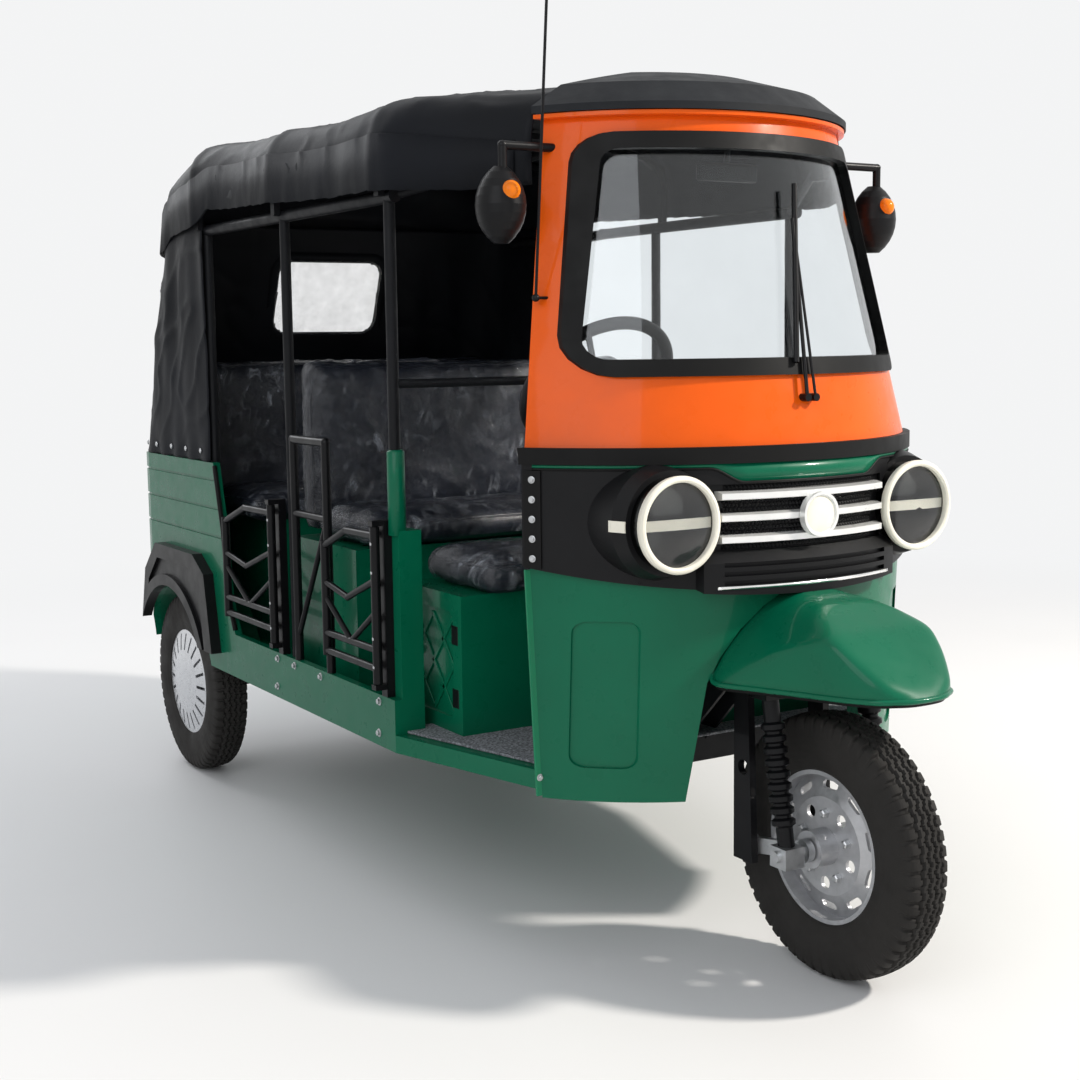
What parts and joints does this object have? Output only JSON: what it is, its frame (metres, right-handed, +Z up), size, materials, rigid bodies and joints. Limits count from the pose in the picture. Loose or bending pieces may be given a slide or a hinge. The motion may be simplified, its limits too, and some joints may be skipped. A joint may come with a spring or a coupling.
{
  "type": "auto rickshaw",
  "caption": "Three-wheeled auto rickshaw with a curved cab front, canvas top, bench rows, tube side gates and a steered front wheel under a fixed mudguard.",
  "frame": {"origin": "middle of the length and width, on the ground", "axes": "+Y towards the tail, the front faces -Y, +X towards the vehicle's left side, +Z up"},
  "size_m": [1.24, 2.89, 2.0103],
  "materials": {
    "green_paint": "gloss",
    "black_plastic": "satin",
    "rubber": "matte",
    "canvas": "matte",
    "clear": "clear",
    "seat_cover": "satin under clear wrap",
    "tyre": "matte",
    "rim_paint": "satin",
    "black_paint": "satin",
    "bare_steel": "satin",
    "orange_paint": "gloss",
    "chrome": "polished",
    "red_lens": "gloss",
    "amber_lens": "gloss"
  },
  "bodies": {
    "body": {"chassis_frame": "black_paint", "floor_pan": "green_paint", "sill_panels": "green_paint", "side_bulkheads": "green_paint", "quarter_panels": "green_paint", "tail_panel": "green_paint", "tail_lamps": "red_lens", "wheel_flares": "black_plastic", "apron": "green_paint", "front_mask": "black_plastic", "grille": "chrome", "headlamps": "chrome", "lamp_lenses": "clear", "trim_strip": "black_plastic", "windscreen_frame": "orange_paint", "windscreen_gasket": "rubber", "windscreen_glass": "clear", "wiper": "black_plastic", "roof_visor": "black_plastic", "mudguard": "green_paint", "roof_frame": "black_paint", "roof_bows": "black_paint", "canopy": "canvas", "rear_curtain": "canvas", "rear_window": "clear", "seat_boxes": "green_paint", "driver_cushion": "seat_cover", "driver_backrest": "seat_cover", "mid_cushion": "seat_cover", "mid_backrest": "seat_cover", "rear_cushion": "seat_cover", "rear_backrest": "seat_cover", "dashboard": "black_plastic", "mirrors": "black_plastic", "indicator_lenses": "amber_lens", "antenna": "bare_steel", "guard_rails": "black_paint", "rear_axle": "bare_steel", "leaf_springs": "bare_steel"},
    "fork": {"fork_frame": "black_paint", "front_links": "bare_steel", "shock_absorbers": "black_paint"},
    "front_wheel": {"front_rim": "rim_paint", "front_tyre": "tyre"},
    "rear_wheel_right": {"rear_rim_right": "rim_paint", "rear_tyre_right": "tyre"},
    "rear_wheel_left": {"rear_rim_left": "rim_paint", "rear_tyre_left": "tyre"},
    "gate_front_right": {"gate_front_right": "black_paint"},
    "gate_front_left": {"gate_front_left": "black_paint"},
    "gate_rear_right": {"gate_rear_right": "black_paint"},
    "gate_rear_left": {"gate_rear_left": "black_paint"},
    "steering_wheel": {"steering_wheel": "black_plastic"}
  },
  "joints": [
    {"name": "steering_turn", "type": "hinge", "parent": "body", "child": "fork", "pos_m": [0, -1.05101, 0.5], "axis": [0, 0.342, 0.9397], "range_deg": [-35, 35]},
    {"name": "front_wheel_spin", "type": "hinge", "parent": "fork", "child": "front_wheel", "pos_m": [0, -1.175, 0.27], "axis": [1, 0, 0], "continuous": true},
    {"name": "rear_wheel_right_spin", "type": "hinge", "parent": "body", "child": "rear_wheel_right", "pos_m": [-0.5, 1.105, 0.27], "axis": [1, 0, 0], "continuous": true},
    {"name": "rear_wheel_left_spin", "type": "hinge", "parent": "body", "child": "rear_wheel_left", "pos_m": [0.5, 1.105, 0.27], "axis": [1, 0, 0], "continuous": true},
    {"name": "steering_wheel_turn", "type": "hinge", "parent": "body", "child": "steering_wheel", "pos_m": [-0.2, -0.615, 1.19], "axis": [0, 0.766, 0.6428], "range_deg": [-140, 140]},
    {"name": "gate_front_right_swing", "type": "hinge", "parent": "body", "child": "gate_front_right", "pos_m": [-0.606, -0.325, 0.7], "axis": [0, 0, 1], "range_deg": [0, 95]},
    {"name": "gate_front_left_swing", "type": "hinge", "parent": "body", "child": "gate_front_left", "pos_m": [0.606, -0.325, 0.7], "axis": [0, 0, -1], "range_deg": [0, 95]},
    {"name": "gate_rear_right_swing", "type": "hinge", "parent": "body", "child": "gate_rear_right", "pos_m": [-0.606, 0.28534, 0.7], "axis": [0, 0, 1], "range_deg": [0, 95]},
    {"name": "gate_rear_left_swing", "type": "hinge", "parent": "body", "child": "gate_rear_left", "pos_m": [0.606, 0.28534, 0.7], "axis": [0, 0, -1], "range_deg": [0, 95]}
  ],
  "couplings": [
    {"joint": "steering_wheel_turn", "follows": "steering_turn", "ratio": 4}
  ]
}
